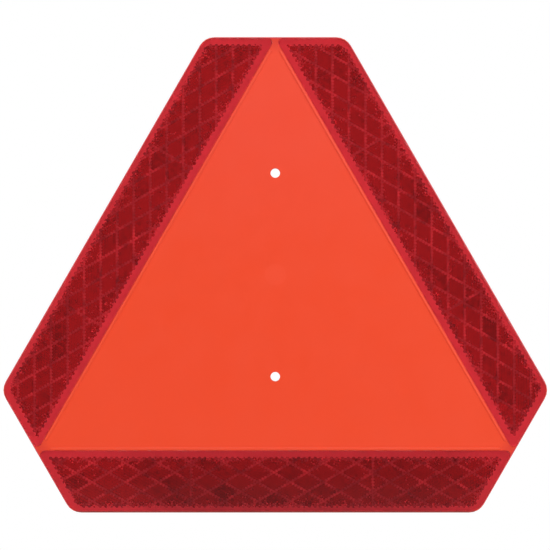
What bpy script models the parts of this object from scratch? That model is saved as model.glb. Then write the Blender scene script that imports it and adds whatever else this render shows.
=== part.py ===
"""Slow-moving-vehicle emblem: a moulded panel with a reflex lens along each long side.

Metres, +Z up. The front faces -Y and the mounting plane at the back is y = 0. The origin is in
that plane, halfway between the two bolt holes. Depths are measured from the front face to the
back, and insets from an edge of the outline towards the middle.
"""

import math

import bmesh
import bpy
from mathutils import Matrix, Vector

INCH = 0.0254
MM = 0.001

# Outline: an equiangular hexagon with three long and three short edges.
LONG_EDGE = 12 * INCH
HEIGHT = 14 * INCH
CORNER_RADIUS = 0.5 * INCH
SHORT_EDGE = HEIGHT * 2 / math.sqrt(3) - LONG_EDGE

# Distance from the triangle's centre to the long and to the short edges.
LONG_REACH = (LONG_EDGE + 2 * SHORT_EDGE) * math.sqrt(3) / 6
SHORT_REACH = HEIGHT - LONG_REACH
CENTRE = Vector((0, 0, LONG_REACH - HEIGHT / 2))

# Panel
BODY_DEPTH = 0.25 * INCH
SKIN = 2.4 * MM
EDGE_ROUNDING = 0.5 * MM
HOLE_RADIUS = 9 / 64 * INCH
HOLE_SPACING = 6 * INCH
BOSS_RADIUS = 10 * MM
PAD_RADIUS = 8 * MM
RIB = 1.6 * MM
RIB_RELIEF = 0.5 * MM
ROOT = 0.7 * MM
CAVITY_INSET = 48.2 * MM
CAVITY_CORNER = 3 * MM

# Raised bead beside each lens
BEAD_INSET = 47.8 * MM
BEAD_RADIUS = 1.3 * MM
BEAD_HEIGHT = 0.8 * MM
BEAD_SINK = 0.1 * MM
BEAD_END_INSET = 9.7 * MM

# Lens: a plate whose flange is welded to a ledge, with a field of prisms behind it
RIM = 1.2 * MM
LENS_INNER_INSET = 46.1 * MM
LENS_INNER_CORNER = 3 * MM
LENS_PLATE = 1.8 * MM
FIELD_OUTER_INSET = 3.9 * MM
FIELD_INNER_INSET = 42.2 * MM
FIELD_END_INSET = 4.8 * MM
FIELD_CORNER = 0.8 * MM
PRISM_PIN = 3 / 32 * INCH
PRISM_DEPTH = PRISM_PIN * math.sqrt(2 / 3)

# Room between the lens and the panel
GAP = 0.3 * MM
PAN_DEPTH = 4.55 * MM

ARC_STEP = math.radians(15)
PAST = 1 * MM

PANEL_COLOUR = (0.86, 0.075, 0.03, 1)
LENS_COLOUR = (0.42, 0.012, 0.02, 1)


def clear_scene():
    """Removes whatever the scene holds."""
    for old in list(bpy.data.objects):
        bpy.data.objects.remove(old, do_unlink=True)


def material(name, colour, roughness):
    """A plastic with one colour."""
    made = bpy.data.materials.new(name)
    made.use_nodes = True
    shader = made.node_tree.nodes["Principled BSDF"]
    shader.inputs["Base Color"].default_value = colour
    shader.inputs["Roughness"].default_value = roughness
    shader.inputs["Metallic"].default_value = 0
    made.diffuse_color = colour
    return made


def crossing(angle_a, reach_a, angle_b, reach_b):
    """The point (x, z) where two lines meet, each given by its normal's angle and its distance."""
    turn = math.sin(angle_b - angle_a)
    x = (reach_a * math.sin(angle_b) - reach_b * math.sin(angle_a)) / turn
    z = (reach_b * math.cos(angle_a) - reach_a * math.cos(angle_b)) / turn
    return x, z


def rounded_outline(sides):
    """Points (x, z) of a convex outline round the triangle's centre.

    sides lists (normal in degrees, distance, radius of the corner to the next side),
    anticlockwise as seen from the front.
    """
    points = []
    for index, (degrees, reach, radius) in enumerate(sides):
        next_degrees, next_reach, _ = sides[(index + 1) % len(sides)]
        start = math.radians(degrees)
        turn = math.radians((next_degrees - degrees) % 360)
        x, z = crossing(start, reach - radius, start + turn, next_reach - radius)
        steps = max(1, math.ceil(turn / ARC_STEP))
        for step in range(steps + 1):
            angle = start + turn * step / steps
            points.append((x + radius * math.cos(angle), z + radius * math.sin(angle)))
    return points


def panel_outline():
    """The emblem's outer outline."""
    sides = []
    for turn in range(3):
        sides.append((-90 + 120 * turn, LONG_REACH, CORNER_RADIUS))
        sides.append((-30 + 120 * turn, SHORT_REACH, CORNER_RADIUS))
    return rounded_outline(sides)


def strip_outline(outer, inner, ends, inner_corner, grow=0.0):
    """A trapezoid along the bottom edge, from its insets, made larger all round by grow."""
    outer_corner = CORNER_RADIUS - outer
    outside = (-90, LONG_REACH - outer + grow, outer_corner + grow)
    right = (-30, SHORT_REACH - ends + grow, inner_corner + grow)
    inside = (90, inner - LONG_REACH + grow, inner_corner + grow)
    left = (210, SHORT_REACH - ends + grow, outer_corner + grow)
    return rounded_outline([outside, right, inside, left])


def lens_outline(grow=0.0):
    """The lens's own outline."""
    return strip_outline(RIM, LENS_INNER_INSET, RIM, LENS_INNER_CORNER, grow)


def field_outline(grow=0.0):
    """The outline of the field of prisms behind the lens plate."""
    return strip_outline(FIELD_OUTER_INSET, FIELD_INNER_INSET, FIELD_END_INSET, FIELD_CORNER, grow)


def at_depth(depth):
    """The y of a depth behind the front face."""
    return depth - BODY_DEPTH


def about_centre(turns):
    """A turn about the triangle's centre by thirds of a circle, clockwise seen from the front."""
    turned = Matrix.Rotation(math.radians(120 * turns), 4, "Y")
    return Matrix.Translation(CENTRE) @ turned


def new_object(name, mesh):
    """An object of its own in the scene."""
    made = bpy.data.objects.new(name, mesh)
    bpy.context.scene.collection.objects.link(made)
    return made


def mesh_of(bm, name):
    """A mesh from a bmesh, with its faces pointing out."""
    bmesh.ops.recalc_face_normals(bm, faces=bm.faces)
    if bm.calc_volume(signed=True) < 0:
        bmesh.ops.reverse_faces(bm, faces=bm.faces)
    mesh = bpy.data.meshes.new(name)
    bm.to_mesh(mesh)
    bm.free()
    return mesh


def slab(name, outline, front, back, place, rounding=0.0):
    """An outline extruded between two depths, with its front and back edges rounded."""
    bm = bmesh.new()
    ring = [bm.verts.new((x, at_depth(front), z)) for x, z in outline]
    face = bm.faces.new(ring)
    grown = bmesh.ops.extrude_face_region(bm, geom=[face])
    moved = [v for v in grown["geom"] if isinstance(v, bmesh.types.BMVert)]
    bmesh.ops.translate(bm, verts=moved, vec=(0, back - front, 0))
    if rounding:
        flat = [e for e in bm.edges if abs(e.verts[0].co.y - e.verts[1].co.y) < 1e-7]
        bmesh.ops.bevel(bm, geom=flat, offset=rounding, segments=2, profile=0.5, affect="EDGES")
    bm.transform(place)
    return new_object(name, mesh_of(bm, name))


def disc(name, radius, front, back, x, z, sides=32):
    """A round plug along Y."""
    angles = [2 * math.pi * (step + 0.5) / sides for step in range(sides)]
    outline = [(x + radius * math.cos(a), z + radius * math.sin(a)) for a in angles]
    return slab(name, outline, front, back, Matrix.Identity(4))


def bar(name, start, end):
    """A straight rib between two points (x, z), rooted in the skin."""
    run = (end - start).normalized()
    side = Vector((-run.y, run.x)) * RIB / 2
    outline = [start - side, end - side, end + side, start + side]
    front, back = SKIN - ROOT, BODY_DEPTH - RIB_RELIEF
    return slab(name, outline, front, back, Matrix.Identity(4))


def bead(name, place):
    """A low ridge with domed ends along the bottom lens's inner edge, its lower half in the panel."""
    along = math.radians(-90), LONG_REACH - BEAD_INSET
    x, z = crossing(*along, math.radians(-30), SHORT_REACH - BEAD_END_INSET)
    balls = bmesh.new()
    for end in (BEAD_RADIUS - x, x - BEAD_RADIUS):
        spot = Matrix.Translation((end, 0, 0)) @ Matrix.Rotation(math.pi / 2, 4, "X")
        bmesh.ops.create_uvsphere(balls, u_segments=16, v_segments=8, radius=BEAD_RADIUS, matrix=spot)
    bm = bmesh.new()
    for point in balls.verts:
        bm.verts.new(point.co)
    balls.free()
    hull = bmesh.ops.convex_hull(bm, input=bm.verts)
    bmesh.ops.delete(bm, geom=hull["geom_interior"], context="VERTS")
    flatten = Matrix.Diagonal((1, (BEAD_HEIGHT + BEAD_SINK) / BEAD_RADIUS, 1, 1))
    bm.transform(place @ Matrix.Translation((0, at_depth(BEAD_SINK), z)) @ flatten)
    return new_object(name, mesh_of(bm, name))


def boolean(base, tool, operation):
    """Cuts a tool from a body, or joins it on."""
    step = base.modifiers.new(tool.name, "BOOLEAN")
    step.operation = operation
    step.object = tool
    step.solver = "EXACT"
    tool.hide_render = True
    tool.display_type = "WIRE"


def finished(base, tools, look):
    """Settles a body's modifiers into its mesh, removes the tools and gives it its material."""
    seen = base.evaluated_get(bpy.context.evaluated_depsgraph_get())
    mesh = bpy.data.meshes.new_from_object(seen)
    base.modifiers.clear()
    base.data = mesh
    for tool in tools:
        bpy.data.objects.remove(tool, do_unlink=True)
    mesh.materials.clear()
    mesh.materials.append(look)
    mesh.shade_smooth()
    mesh.set_sharp_from_angle(angle=math.radians(35))
    return base


def lens_pockets():
    """Under each lens, a stepped pocket: the ledge for its flange, then a pan for its prisms."""
    tools = []
    for turn in range(3):
        place = about_centre(turn)
        tools.append(slab(f"ledge_cut_{turn}", lens_outline(GAP), -PAST, LENS_PLATE + GAP, place))
        tools.append(slab(f"pan_cut_{turn}", field_outline(2 * GAP), 0, PAN_DEPTH, place))
    return tools


def rear_cavity():
    """The triangular hollow behind the middle of the panel."""
    reach = LONG_REACH - CAVITY_INSET
    outline = rounded_outline([(-90 + 120 * turn, reach, CAVITY_CORNER) for turn in range(3)])
    return slab("cavity_cut", outline, SKIN, BODY_DEPTH + PAST, Matrix.Translation(CENTRE))


def rear_ribs():
    """Six ribs from the middle pad: to the cavity's three corners and to its three sides."""
    side = LONG_REACH - CAVITY_INSET
    corner = 2 * side - CAVITY_CORNER / 2
    start = PAD_RADIUS / 2
    ribs = []
    for turn in range(3):
        towards = math.radians(90 + 120 * turn)
        tip = Vector((corner * math.cos(towards), CENTRE.z + corner * math.sin(towards)))
        ribs.append(bar(f"corner_rib_{turn}", tip.normalized() * start, tip))
        away = math.radians(-90 + 120 * turn)
        wall = side + CENTRE.z * math.sin(away) + RIB
        outwards = Vector((math.cos(away), math.sin(away)))
        ribs.append(bar(f"side_rib_{turn}", outwards * start, outwards * wall))
    return ribs


def rear_pads():
    """Round pads that reach the mounting plane: one in the middle, one round each bolt hole."""
    pads = [disc("middle_pad", PAD_RADIUS, SKIN - ROOT, BODY_DEPTH, 0, 0)]
    for z in (-HOLE_SPACING / 2, HOLE_SPACING / 2):
        pads.append(disc(f"bolt_boss_{z:+.3f}", BOSS_RADIUS, SKIN - ROOT, BODY_DEPTH, 0, z))
    return pads


def bolt_holes():
    """Plugs for the two bolt holes."""
    heights = (-HOLE_SPACING / 2, HOLE_SPACING / 2)
    return [disc(f"bolt_cut_{z:+.3f}", HOLE_RADIUS, -PAST, BODY_DEPTH + PAST, 0, z) for z in heights]


def build_panel(look):
    """The moulded panel, with its pockets, beads, rear ribs and bolt holes."""
    place = Matrix.Translation(CENTRE)
    panel = slab("emblem_panel", panel_outline(), 0, BODY_DEPTH, place, EDGE_ROUNDING)
    cuts = lens_pockets() + [rear_cavity()]
    adds = rear_pads() + rear_ribs() + [bead(f"bead_{turn}", about_centre(turn)) for turn in range(3)]
    drilled = bolt_holes()
    for tool in cuts:
        boolean(panel, tool, "DIFFERENCE")
    for tool in adds:
        boolean(panel, tool, "UNION")
    for tool in drilled:
        boolean(panel, tool, "DIFFERENCE")
    return finished(panel, cuts + adds + drilled, look)


def build_lens(name, turn, look):
    """One reflex lens: its plate, with the block of prisms standing behind it."""
    place = about_centre(turn)
    lens = slab(name, lens_outline(), 0, LENS_PLATE, place, EDGE_ROUNDING / 2)
    block = slab(f"{name}_block", field_outline(), LENS_PLATE / 2, LENS_PLATE + PRISM_DEPTH, place)
    boolean(lens, block, "UNION")
    return finished(lens, [block], look)


clear_scene()
build_panel(material("panel_plastic", PANEL_COLOUR, 0.4))
lens_look = material("lens_plastic", LENS_COLOUR, 0.08)
for lens_name, third in (("lens_bottom", 0), ("lens_left", 1), ("lens_right", 2)):
    build_lens(lens_name, third, lens_look)
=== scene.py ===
"""Looks of a slow-moving-vehicle emblem: reflex lenses with real corner prisms, moulded panel.

Metres, +Z up, front towards -Y. Depths are measured from the front face to the back, and insets
from an edge of the outline towards the middle. Colours are linear.
"""

import math

import bmesh
import bpy
import numpy as np
from mathutils import Matrix, Vector

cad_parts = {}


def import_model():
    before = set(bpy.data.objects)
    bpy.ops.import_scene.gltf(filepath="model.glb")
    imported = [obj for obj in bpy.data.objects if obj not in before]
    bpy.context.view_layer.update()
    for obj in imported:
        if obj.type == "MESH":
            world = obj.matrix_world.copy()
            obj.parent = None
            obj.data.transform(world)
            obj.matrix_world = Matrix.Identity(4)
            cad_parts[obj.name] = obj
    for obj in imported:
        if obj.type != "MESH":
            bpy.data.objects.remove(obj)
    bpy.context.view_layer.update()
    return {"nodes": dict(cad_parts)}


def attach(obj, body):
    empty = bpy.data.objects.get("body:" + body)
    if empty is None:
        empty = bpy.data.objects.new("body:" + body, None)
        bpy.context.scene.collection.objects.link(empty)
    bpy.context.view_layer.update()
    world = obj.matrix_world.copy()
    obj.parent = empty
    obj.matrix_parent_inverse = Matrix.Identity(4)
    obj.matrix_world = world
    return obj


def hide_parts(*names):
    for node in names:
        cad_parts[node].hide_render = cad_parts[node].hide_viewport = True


MM = 0.001
INCH = 0.0254

# Outline of the emblem, as in the CAD
LONG_EDGE = 12 * INCH
HEIGHT = 14 * INCH
CORNER_RADIUS = 0.5 * INCH
SHORT_EDGE = HEIGHT * 2 / math.sqrt(3) - LONG_EDGE
LONG_REACH = (LONG_EDGE + 2 * SHORT_EDGE) * math.sqrt(3) / 6
SHORT_REACH = HEIGHT - LONG_REACH
CENTRE = Vector((0, 0, LONG_REACH - HEIGHT / 2))
BODY_DEPTH = 0.25 * INCH

# Lenses, each turned by so many thirds of a circle from the bottom edge
TURNS = {"lens_bottom": 0, "lens_left": 1, "lens_right": 2}
RIM = 1.2 * MM
LENS_INNER_INSET = 46.1 * MM
LENS_INNER_CORNER = 3 * MM
LENS_PLATE = 1.8 * MM
FRONT_ROUNDING = 0.3 * MM
# The weld fills most of the CAD's gap round a lens, so the visible lens is larger by this
WELD_SWELL = 0.25 * MM

# Field of prisms: hexagonal pins, each with three square facets that meet in a corner
FIELD_OUTER_INSET = 3.9 * MM
FIELD_INNER_INSET = 42.2 * MM
FIELD_END_INSET = 4.8 * MM
# A pin's centre lies at least this far inside the field
FIELD_MARGIN = 0.8 * MM
PIN = 3 / 32 * INCH
PIN_SIDE = PIN / math.sqrt(3)
FACET_STEP = PIN / math.sqrt(6)
# Rows of pins tried each way from the net's crossing, enough to pass the field's ends
GRID_ROWS = 120
# Steps that a vertex's place is rounded to, so that neighbouring pins share their vertices
STEPS_PER_MM = 50

# Net of blunt pins: every sixth row each way, from a crossing at this inset and shift
NET_ROWS = 6
NET_INSET = 15.5 * MM
NET_SHIFT = {"lens_bottom": -1.1 * MM, "lens_left": 5.4 * MM, "lens_right": -2.8 * MM}
# Two seams across each lens, between the mould's inserts, where the pins are blunt too
SEAMS = (-62.7 * MM, 73.4 * MM)

# How far a tip is out of true: with its diamond, by itself, and at most
BUNDLE_ERROR = 0.019 * MM
PIN_ERROR = 0.012 * MM
MOST_ERROR = 0.045 * MM
SEED = 7

# Share of facets that are frosted or welded over at the field's edge, and how soon it falls off
EDGE_FROST = 0.42
FROST_REACH = 2.2 * MM
EDGE_WELD = 0.4
WELD_REACH = 0.9 * MM
# Share of facets that are frosted everywhere
SPECKS = 0.004

# A lens's materials, after its clear acrylic, which is number 0
FACETS, NET, WELD = 1, 2, 3

# Scar of the moulding gate: half sizes, how far it bends up 1 mm from its middle, and its place
GATE_HALF_SIZES = (1.8 * MM, 0.14 * MM, 0.38 * MM)
GATE_BEND = 0.05 * MM
GATE_PLACE = (1.2 * MM, -BODY_DEPTH, -3.5 * MM)

# Panel's plastic: at the bottom; at the top, where a painted reflection makes it paler and pinker; in
# pale patches; at the tips, darkened by painted shade; on the rim's front; and along the bottom
# edge's front, darkened by painted shade
ORANGE_LOW = (0.76, 0.0425, 0.0015)
ORANGE_TOP_SHEEN = (0.75, 0.0445, 0.0125)
ORANGE_PALE = (0.79, 0.056, 0.0135)
TIP_SHADE = (0.6, 0.02, 0.006)
RIM_RED = (0.6, 0.03, 0.035)
BOTTOM_EDGE_SHADE = (0.2, 0.03, 0.015)
# Heights, radii and depths over which one colour passes into the next
TOP_SHEEN_HEIGHTS = (-20 * MM, 130 * MM)
BLUSH_RADII = (7.4 * MM, 9.2 * MM)
TIP_SHADE_RADII = (193 * MM, 204 * MM)
RIM_INSETS = (1.2 * MM, 1.0 * MM)
FRONT_PLACES = (-5.6 * MM, -6.0 * MM)
BOTTOM_SHADE_HEIGHTS = (-175.8 * MM, -177.2 * MM)
BLUSH_SHARE = 0.55
CLOUD_SHARE = 0.35
TIP_SHADE_SHARE = 0.8
BOTTOM_SHADE_SHARE = 0.8

# Lenses' acrylic: the deepest colour of the side lenses, the bottom lens's colour under painted
# shade, the clearest colour, and where the bottom lens's painted shade lies
SIDE_DEEP = (0.64, 0.0256, 0.0365)
BOTTOM_SHADED = (0.62, 0.0248, 0.0353)
ACRYLIC_CLEAR = (1.0, 0.04, 0.057)
SHADE_MIDDLE = 18 * MM
SHADE_REACHES = (75 * MM, 150 * MM)
SHADE_HEIGHTS = (-180 * MM, -130 * MM)
ENDS_SHARE = 0.85
INNER_SHARE = 0.5
ACRYLIC_IOR = 1.49

FACET_SILVER = (0.95, 0.66, 0.66, 1)
BUMP_HEIGHT = 0.05 * MM

# Studio: floor, room and lights
FLOOR_GREY = (0.85, 0.85, 0.85, 1)
FLOOR_RADIUS = 1.1
FLOOR_HEIGHT = -0.36
WHITE = (1, 1, 1, 1)
# The room is darker round the camera, between these cosines from the way the emblem faces
ROOM_COSINES = (0.72, 0.96)
ROOM_RADIANCES = (0.5, 0.15)
# Its brightness level with the emblem and straight up, and a glow from just below level
ROOM_LEVEL, ROOM_TOP = 0.9, 1.2
GLOW_SINES = (-0.093, -0.101)
GLOW = 0.09
# Each round soft light: place, diameter, radiance
LIGHTS = {
    "behind_camera": ((0, -1.75, 0), 0.34, 0.25),
    "key": ((1.1, -1.4, 0.5), 0.8, 8),
    "top": ((0.0, -1.4, 1.3), 0.8, 6),
    "fill": ((-1.1, -1.4, 0.4), 0.8, 4),
    "back": ((-0.9, 1.5, 0.8), 0.8, 5),
}
CAMERA_DISTANCE = 1.6
CAMERA_PLACE = (-0.2 * MM, -BODY_DEPTH - CAMERA_DISTANCE, -0.1 * MM)
VIEW_WIDTH = 0.4113
SENSOR = 36


# ---------------------------------------------------------------- outlines


def crossing(angle_a, reach_a, angle_b, reach_b):
    """The point where two lines meet, each given by its normal's angle and its distance."""
    turn = math.sin(angle_b - angle_a)
    x = (reach_a * math.sin(angle_b) - reach_b * math.sin(angle_a)) / turn
    z = (reach_b * math.cos(angle_a) - reach_a * math.cos(angle_b)) / turn
    return x, z


def rounded_outline(sides, step=8):
    """Points (x, z) of a convex outline round the triangle's centre, anticlockwise.

    sides lists (normal in degrees, distance, radius of the corner to the next side).
    """
    points = []
    for index, (degrees, reach, radius) in enumerate(sides):
        next_degrees, next_reach, _ = sides[(index + 1) % len(sides)]
        start = math.radians(degrees)
        turn = math.radians((next_degrees - degrees) % 360)
        x, z = crossing(start, reach - radius, start + turn, next_reach - radius)
        steps = max(1, math.ceil(math.degrees(turn) / step))
        for part in range(steps + 1):
            angle = start + turn * part / steps
            points.append((x + radius * math.cos(angle), z + radius * math.sin(angle)))
    return points


def strip_sides(outer, inner, ends, inner_corner):
    """The four sides of a trapezoid along the bottom edge, from its insets."""
    outer_corner = CORNER_RADIUS - outer
    return [
        (-90, LONG_REACH - outer, outer_corner),
        (-30, SHORT_REACH - ends, inner_corner),
        (90, inner - LONG_REACH, inner_corner),
        (210, SHORT_REACH - ends, outer_corner),
    ]


def lens_outline(inset=0.0):
    """The lens's outline, drawn in by an inset."""
    sides = strip_sides(RIM, LENS_INNER_INSET, RIM, LENS_INNER_CORNER)
    drawn_in = [(angle, reach - inset, radius - inset) for angle, reach, radius in sides]
    return rounded_outline(drawn_in)


def field_depth(x, z):
    """How far inside the prism field a point of the bottom strip is: less than 0 outside it."""
    depths = []
    for degrees, reach, _ in strip_sides(FIELD_OUTER_INSET, FIELD_INNER_INSET, FIELD_END_INSET, 0):
        angle = math.radians(degrees)
        depths.append(reach - x * math.cos(angle) - z * math.sin(angle))
    long_reach, short_reach = LONG_REACH - CORNER_RADIUS, SHORT_REACH - CORNER_RADIUS
    centre_x, centre_z = crossing(math.radians(-90), long_reach, math.radians(-30), short_reach)
    if abs(x) > centre_x and z < centre_z:
        corner = CORNER_RADIUS - FIELD_OUTER_INSET
        depths.append(corner - math.hypot(abs(x) - centre_x, z - centre_z))
    return min(depths)


def about_centre(turns):
    """A turn about the triangle's centre by thirds of a circle, clockwise seen from the front."""
    turned = Matrix.Rotation(math.radians(120 * turns), 4, "Y")
    return Matrix.Translation(CENTRE) @ turned


# ---------------------------------------------------------------- mesh helpers


def new_object(name, bm):
    """An object of its own made from a bmesh, facing out."""
    bmesh.ops.recalc_face_normals(bm, faces=bm.faces)
    if bm.calc_volume(signed=True) < 0:
        bmesh.ops.reverse_faces(bm, faces=bm.faces)
    mesh = bpy.data.meshes.new(name)
    bm.to_mesh(mesh)
    bm.free()
    made = bpy.data.objects.new(name, mesh)
    bpy.context.scene.collection.objects.link(made)
    return made


# ---------------------------------------------------------------- lens


def pin_cells(shift):
    """Every cell of a lens's field: its centre, and its diamond's number or None on the net."""
    along = Vector((PIN * math.cos(math.pi / 6), PIN * math.sin(math.pi / 6)))
    across = Vector((along.x, -along.y))
    start = Vector((shift, NET_INSET - LONG_REACH))
    cells = []
    for p in range(-GRID_ROWS, GRID_ROWS):
        for q in range(-GRID_ROWS, GRID_ROWS):
            centre = start + p * along + q * across
            if field_depth(centre.x, centre.y) > FIELD_MARGIN:
                on_net = p % NET_ROWS == 0 or q % NET_ROWS == 0
                on_net = on_net or any(abs(centre.x - seam) < along.x / 2 for seam in SEAMS)
                cells.append((centre, None if on_net else (p // NET_ROWS, q // NET_ROWS)))
    return cells


def rounded(*places):
    """Places rounded to whole steps, by which vertices and edges are known."""
    return tuple(round(place / MM * STEPS_PER_MM) for place in places)


class Field:
    """The prism field of one lens, built cell by cell with shared vertices."""

    def __init__(self, bm, rng):
        self.bm = bm
        self.rng = rng
        self.known = {}
        self.edges = {}
        self.errors = {}

    def vert(self, x, z, depth):
        key = rounded(x, z, depth)
        if key not in self.known:
            self.known[key] = self.bm.verts.new((x, depth - BODY_DEPTH, z))
        return self.known[key]

    def face(self, points, material):
        made = self.bm.faces.new([self.vert(*point) for point in points])
        made.material_index = material

    def error(self, diamond):
        """How far a tip is from its true place: its diamond's error and a little of its own."""
        if diamond not in self.errors:
            self.errors[diamond] = self.rng.normal(0, BUNDLE_ERROR, 3)
        off = self.errors[diamond] + self.rng.normal(0, PIN_ERROR, 3)
        return np.clip(off, -MOST_ERROR, MOST_ERROR)

    def add_pin(self, centre, diamond):
        """A pin: three facets that meet at its tip or, on the net, a flat frosted top.

        Each facet is two triangles. Some are frosted or welded over, and most of those are near
        the edge of the field.
        """
        away = field_depth(centre.x, centre.y) - FIELD_MARGIN
        welded = EDGE_WELD * math.exp(-away / WELD_REACH)
        frosted = welded + SPECKS + EDGE_FROST * math.exp(-away / FROST_REACH)
        corners = []
        for index in range(6):
            angle = index * math.pi / 3
            x = centre.x + PIN_SIDE * math.cos(angle)
            z = centre.y + PIN_SIDE * math.sin(angle)
            corners.append((x, z, LENS_PLATE + (FACET_STEP if index % 2 == 0 else 0)))
        if diamond is None:
            self.face([corners[0], corners[2], corners[4]], NET)
            for index in (0, 2, 4):
                self.face([corners[index], corners[index + 1], corners[(index + 2) % 6]], FACETS)
        else:
            dx, dz, deeper = self.error(diamond)
            peak = (centre.x + dx, centre.y + dz, LENS_PLATE + 2 * FACET_STEP + deeper)
            for index in range(6):
                roll = self.rng.random()
                look = WELD if roll < welded else NET if roll < frosted else FACETS
                self.face([peak, corners[index], corners[(index + 1) % 6]], look)
        for index in range(6):
            pair = [corners[index], corners[(index + 1) % 6]]
            key = tuple(sorted(rounded(x, z) for x, z, _ in pair))
            if key in self.edges:
                del self.edges[key]
            else:
                self.edges[key] = pair

    def close(self):
        """Walls down to the plate round the edge of the field. Returns the foot of the walls."""
        foot = []
        for pair in self.edges.values():
            low, high = sorted(pair, key=lambda corner: corner[2])
            base = (high[0], high[1], LENS_PLATE)
            self.face([low, high, base], WELD)
            foot.append((self.vert(*low), self.vert(*base)))
        return foot


def add_plate(bm, foot):
    """The plate in front of a field, with its edge rounded and its back filled in round the field."""
    rings = []
    halfway = 0.3 * FRONT_ROUNDING
    profile = ((LENS_PLATE, 0), (FRONT_ROUNDING, 0), (halfway, halfway), (0, FRONT_ROUNDING))
    for depth, inset in profile:
        outline = lens_outline(inset - WELD_SWELL)
        rings.append([bm.verts.new((x, depth - BODY_DEPTH, z)) for x, z in outline])
    for lower, upper in zip(rings, rings[1:]):
        for index in range(len(lower)):
            after = (index + 1) % len(lower)
            made = bm.faces.new([lower[index], lower[after], upper[after], upper[index]])
            made.smooth = lower is not rings[0]
    bm.faces.new(rings[-1])
    edges = [bm.edges.get(pair) for pair in foot]
    back = rings[0]
    for index in range(len(back)):
        edges.append(bm.edges.get((back[index], back[(index + 1) % len(back)])))
    filled = bmesh.ops.triangle_fill(bm, use_beauty=True, edges=edges)
    for made in filled["geom"]:
        if isinstance(made, bmesh.types.BMFace):
            made.material_index = WELD


def build_lens(name):
    """A lens: glossy front plate with a plain flange, and a field of pins standing on its back."""
    bm = bmesh.new()
    field = Field(bm, np.random.default_rng(TURNS[name] + SEED))
    for centre, diamond in pin_cells(NET_SHIFT[name]):
        field.add_pin(centre, diamond)
    add_plate(bm, field.close())
    bm.transform(about_centre(TURNS[name]))
    lens = new_object(f"{name}_acrylic", bm)
    for material in lens_materials(name):
        lens.data.materials.append(material)
    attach(lens, "root")
    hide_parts(name)


def build_gate_mark(material):
    """The scar of the moulding gate: a low curved ridge just below the middle."""
    bm = bmesh.new()
    bmesh.ops.create_uvsphere(bm, u_segments=32, v_segments=16, radius=1)
    bmesh.ops.scale(bm, vec=GATE_HALF_SIZES, verts=bm.verts)
    for vert in bm.verts:
        vert.co.z += GATE_BEND * (vert.co.x / MM) ** 2
    bmesh.ops.translate(bm, vec=GATE_PLACE, verts=bm.verts)
    for face in bm.faces:
        face.smooth = True
    mark = new_object("gate_mark", bm)
    mark.data.materials.append(material)
    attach(mark, "root")


# ---------------------------------------------------------------- materials


def shader_of(material):
    material.use_nodes = True
    return material.node_tree.nodes["Principled BSDF"]


def patterned(name):
    """A new material, with its shader and the coordinates that its patterns follow."""
    material = bpy.data.materials.new(name)
    shader = shader_of(material)
    coords = material.node_tree.nodes.new("ShaderNodeTexCoord").outputs["Object"]
    return material, shader, coords


def noise(tree, coords, scale, detail=4.0):
    node = tree.nodes.new("ShaderNodeTexNoise")
    node.inputs["Scale"].default_value = scale
    node.inputs["Detail"].default_value = detail
    tree.links.new(coords, node.inputs["Vector"])
    return node.outputs["Fac"]


def ranged(tree, value, low, high, start=0.0, end=1.0, smooth=False):
    """A value that goes from low to high while the given one goes from start to end."""
    node = tree.nodes.new("ShaderNodeMapRange")
    node.interpolation_type = "SMOOTHSTEP" if smooth else "LINEAR"
    node.inputs["From Min"].default_value = start
    node.inputs["From Max"].default_value = end
    node.inputs["To Min"].default_value = low
    node.inputs["To Max"].default_value = high
    tree.links.new(value, node.inputs["Value"])
    return node.outputs["Result"]


def fade(tree, value, span, low, high):
    """A value that eases from low to high while the given one crosses a span."""
    return ranged(tree, value, low, high, *span, smooth=True)


def maths(tree, operation, first, second):
    """What an operation makes of two values, each a float or the output of a node."""
    node = tree.nodes.new("ShaderNodeMath")
    node.operation = operation
    for index, value in enumerate((first, second)):
        if isinstance(value, float):
            node.inputs[index].default_value = value
        else:
            tree.links.new(value, node.inputs[index])
    return node.outputs["Value"]


def vector_maths(tree, operation, vector, other=None):
    """A node for an operation on a vector and, where it takes two, a fixed one."""
    node = tree.nodes.new("ShaderNodeVectorMath")
    node.operation = operation
    tree.links.new(vector, node.inputs[0])
    if other is not None:
        node.inputs[1].default_value = other
    return node


def mixed(tree, factor, first, second):
    """A mix of two colours, each a triple or the output of a node."""
    mix = tree.nodes.new("ShaderNodeMix")
    mix.data_type = "RGBA"
    tree.links.new(factor, mix.inputs["Factor"])
    for name, colour in (("A", first), ("B", second)):
        if isinstance(colour, tuple):
            mix.inputs[name].default_value = (*colour, 1)
        else:
            tree.links.new(colour, mix.inputs[name])
    return mix.outputs["Result"]


def separated(tree, coords):
    """The X, Y and Z of a vector."""
    apart = tree.nodes.new("ShaderNodeSeparateXYZ")
    tree.links.new(coords, apart.inputs[0])
    return apart.outputs


def add_roughness(tree, shader, pattern, low, high):
    tree.links.new(ranged(tree, pattern, low, high), shader.inputs["Roughness"])


def add_bump(tree, shader, height, strength):
    bump = tree.nodes.new("ShaderNodeBump")
    bump.inputs["Strength"].default_value = strength
    bump.inputs["Distance"].default_value = BUMP_HEIGHT
    tree.links.new(height, bump.inputs["Height"])
    tree.links.new(bump.outputs["Normal"], shader.inputs["Normal"])


def edge_distance(tree, coords):
    """How far a point is from the nearest of the outline's six edges."""
    offset = vector_maths(tree, "SUBTRACT", coords, CENTRE).outputs["Vector"]
    nearest = None
    for index in range(6):
        angle = math.radians(60 * index - 90)
        normal = (math.cos(angle), 0, math.sin(angle))
        outwards = vector_maths(tree, "DOT_PRODUCT", offset, normal).outputs["Value"]
        reach = SHORT_REACH if index % 2 else LONG_REACH
        distance = maths(tree, "SUBTRACT", reach, outwards)
        nearest = maths(tree, "MINIMUM", nearest, distance) if nearest else distance
    return nearest


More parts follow.
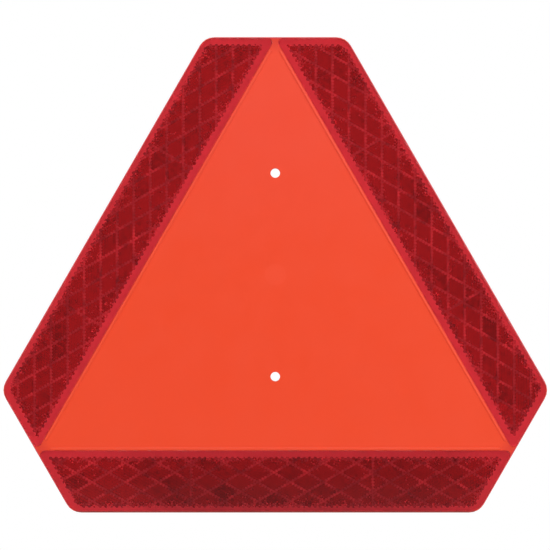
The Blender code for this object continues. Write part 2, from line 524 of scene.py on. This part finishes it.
def panel_colour(tree, coords):
    """Red-orange: paler and pinker towards the top, a painted reflection; paler in cloudy patches and
    round the gate; darker and redder at the tips, a painted shade; redder at the rim.

    The rim's front is darkened along the bottom edge by painted shade.
    """
    place = separated(tree, coords)
    combined = tree.nodes.new("ShaderNodeCombineXYZ")
    tree.links.new(place["X"], combined.inputs["X"])
    tree.links.new(place["Z"], combined.inputs["Z"])
    flat = combined.outputs["Vector"]
    from_gate = vector_maths(tree, "LENGTH", flat).outputs["Value"]
    blush = fade(tree, from_gate, BLUSH_RADII, BLUSH_SHARE, 0.0)
    cloud = ranged(tree, noise(tree, coords, scale=25.0), 0.0, CLOUD_SHARE)
    pale = maths(tree, "MAXIMUM", blush, cloud)
    # Painted reflection: the orange turns paler and pinker towards the top
    top_sheen = fade(tree, place["Z"], TOP_SHEEN_HEIGHTS, 0.0, 1.0)
    plastic = mixed(tree, top_sheen, ORANGE_LOW, ORANGE_TOP_SHEEN)
    plastic = mixed(tree, pale, plastic, ORANGE_PALE)
    # Painted shade: the panel is darker and redder at its three tips
    from_centre = vector_maths(tree, "DISTANCE", flat, CENTRE).outputs["Value"]
    tip = fade(tree, from_centre, TIP_SHADE_RADII, 0.0, TIP_SHADE_SHARE)
    plastic = mixed(tree, tip, plastic, TIP_SHADE)
    front = fade(tree, place["Y"], FRONT_PLACES, 0.0, 1.0)
    rim = fade(tree, edge_distance(tree, coords), RIM_INSETS, 0.0, 1.0)
    plastic = mixed(tree, maths(tree, "MULTIPLY", rim, front), plastic, RIM_RED)
    # Painted shade: the front darkens along the bottom edge
    bottom_shade = fade(tree, place["Z"], BOTTOM_SHADE_HEIGHTS, 0.0, BOTTOM_SHADE_SHARE)
    return mixed(tree, maths(tree, "MULTIPLY", bottom_shade, front), plastic, BOTTOM_EDGE_SHADE)


def panel_material():
    """Satin fluorescent plastic."""
    material, shader, coords = patterned("fluorescent_panel_plastic")
    tree = material.node_tree
    tree.links.new(panel_colour(tree, coords), shader.inputs["Base Color"])
    add_roughness(tree, shader, noise(tree, coords, scale=60.0), low=0.38, high=0.52)
    add_bump(tree, shader, noise(tree, coords, scale=2500.0), strength=0.15)
    return material


def acrylic_colour(tree, coords, name):
    """Dark red. The bottom lens has painted shade: darker in its middle part and towards its outer
    edge.
    """
    cloud = ranged(tree, noise(tree, coords, scale=40.0), low=0.9, high=1.05)
    if name != "lens_bottom":
        return mixed(tree, cloud, SIDE_DEEP, ACRYLIC_CLEAR)
    # Painted shade on the bottom lens: darker in its middle part and towards its outer edge
    place = separated(tree, coords)
    sideways = maths(tree, "SUBTRACT", place["X"], SHADE_MIDDLE)
    sideways = maths(tree, "ABSOLUTE", sideways, 0.0)
    ends = fade(tree, sideways, SHADE_REACHES, 0.0, ENDS_SHARE)
    inner = fade(tree, place["Z"], SHADE_HEIGHTS, 0.0, INNER_SHARE)
    clear = maths(tree, "MULTIPLY", maths(tree, "MAXIMUM", ends, inner), cloud)
    return mixed(tree, clear, BOTTOM_SHADED, ACRYLIC_CLEAR)


def acrylic_material(name):
    """Clear red acrylic, a little wavy as moulded."""
    material, shader, coords = patterned(f"{name}_red_acrylic")
    tree = material.node_tree
    tree.links.new(acrylic_colour(tree, coords, name), shader.inputs["Base Color"])
    shader.inputs["Transmission Weight"].default_value = 1.0
    shader.inputs["IOR"].default_value = ACRYLIC_IOR
    add_roughness(tree, shader, noise(tree, coords, scale=90.0), low=0.0, high=0.05)
    add_bump(tree, shader, noise(tree, coords, scale=70.0, detail=1.0), strength=0.1)
    return material


def facets_material(name):
    """Mirror-bright prism facets, which stand in for total internal reflection."""
    material, shader, coords = patterned(f"{name}_prism_facets")
    tree = material.node_tree
    shader.inputs["Base Color"].default_value = FACET_SILVER
    shader.inputs["Metallic"].default_value = 1.0
    add_roughness(tree, shader, noise(tree, coords, scale=300.0), low=0.03, high=0.14)
    return material


def frost_material(name, scale, low, high, roughness):
    """Dull white of an even or a patchy frost."""
    material, shader, coords = patterned(name)
    tree = material.node_tree
    shade = ranged(tree, noise(tree, coords, scale), low, high)
    tree.links.new(shade, shader.inputs["Base Color"])
    shader.inputs["Roughness"].default_value = roughness
    return material


def lens_materials(name):
    """A lens's clear acrylic, bright facets, patchy net and specks, and welded faces."""
    return (
        acrylic_material(name),
        facets_material(name),
        frost_material(f"{name}_net_facets", scale=120.0, low=0.0, high=1.15, roughness=0.5),
        frost_material(f"{name}_weld_frost", scale=500.0, low=0.92, high=1.0, roughness=0.7),
    )


# ---------------------------------------------------------------- studio


def build_floor():
    """A pale round floor well below the emblem."""
    bm = bmesh.new()
    bmesh.ops.create_circle(bm, cap_ends=True, radius=FLOOR_RADIUS, segments=96)
    mesh = bpy.data.meshes.new("studio_floor")
    bm.to_mesh(mesh)
    bm.free()
    floor = bpy.data.objects.new("studio_floor", mesh)
    floor.location = (0, 0, FLOOR_HEIGHT)
    bpy.context.scene.collection.objects.link(floor)
    pale = bpy.data.materials.new("pale_floor")
    shader = shader_of(pale)
    shader.inputs["Base Color"].default_value = FLOOR_GREY
    shader.inputs["Roughness"].default_value = 0.8
    mesh.materials.append(pale)


def build_room():
    """An even bright room, darker round the camera, that the camera itself sees as white."""
    world = bpy.data.worlds.new("studio")
    bpy.context.scene.world = world
    world.use_nodes = True
    tree = world.node_tree
    background = tree.nodes["Background"]
    coords = tree.nodes.new("ShaderNodeTexCoord").outputs["Generated"]
    forwards = vector_maths(tree, "DOT_PRODUCT", coords, (0, -1, 0)).outputs["Value"]
    room = fade(tree, forwards, ROOM_COSINES, *ROOM_RADIANCES)
    up = separated(tree, coords)["Z"]
    lit = maths(tree, "MULTIPLY", room, ranged(tree, up, ROOM_LEVEL, ROOM_TOP))
    below = ranged(tree, up, 0.0, GLOW, *GLOW_SINES)
    seen = tree.nodes.new("ShaderNodeLightPath").outputs["Is Camera Ray"]
    pick = tree.nodes.new("ShaderNodeMix")
    pick.data_type = "FLOAT"
    tree.links.new(seen, pick.inputs["Factor"])
    tree.links.new(maths(tree, "ADD", lit, below), pick.inputs["A"])
    pick.inputs["B"].default_value = 1.0
    tree.links.new(pick.outputs["Result"], background.inputs["Strength"])
    background.inputs["Color"].default_value = WHITE


def soft_light(name, place, size, radiance):
    """A round area light that faces the emblem."""
    light = bpy.data.lights.new(name, "AREA")
    light.shape = "DISK"
    light.size = size
    light.energy = radiance * math.pi * math.pi * size * size / 4
    made = bpy.data.objects.new(name, light)
    made.location = place
    made.rotation_euler = (-Vector(place)).to_track_quat("-Z", "Y").to_euler()
    made.visible_camera = False
    bpy.context.scene.collection.objects.link(made)


def build_camera():
    """Straight from the front, from far enough for little perspective."""
    camera = bpy.data.objects.new("camera", bpy.data.cameras.new("camera"))
    camera.data.sensor_width = SENSOR
    camera.data.lens = SENSOR * CAMERA_DISTANCE / VIEW_WIDTH
    camera.location = CAMERA_PLACE
    camera.rotation_euler = (math.pi / 2, 0, 0)
    bpy.context.scene.collection.objects.link(camera)
    bpy.context.scene.camera = camera


def main():
    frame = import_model()
    bpy.context.scene.view_settings.view_transform = "Standard"
    build_floor()
    build_room()
    for name, (place, size, radiance) in LIGHTS.items():
        soft_light(name, place, size, radiance)
    build_camera()
    panel = frame["nodes"]["emblem_panel"]
    panel.data.materials.clear()
    plastic = panel_material()
    panel.data.materials.append(plastic)
    build_gate_mark(plastic)
    for name in TURNS:
        build_lens(name)


main()
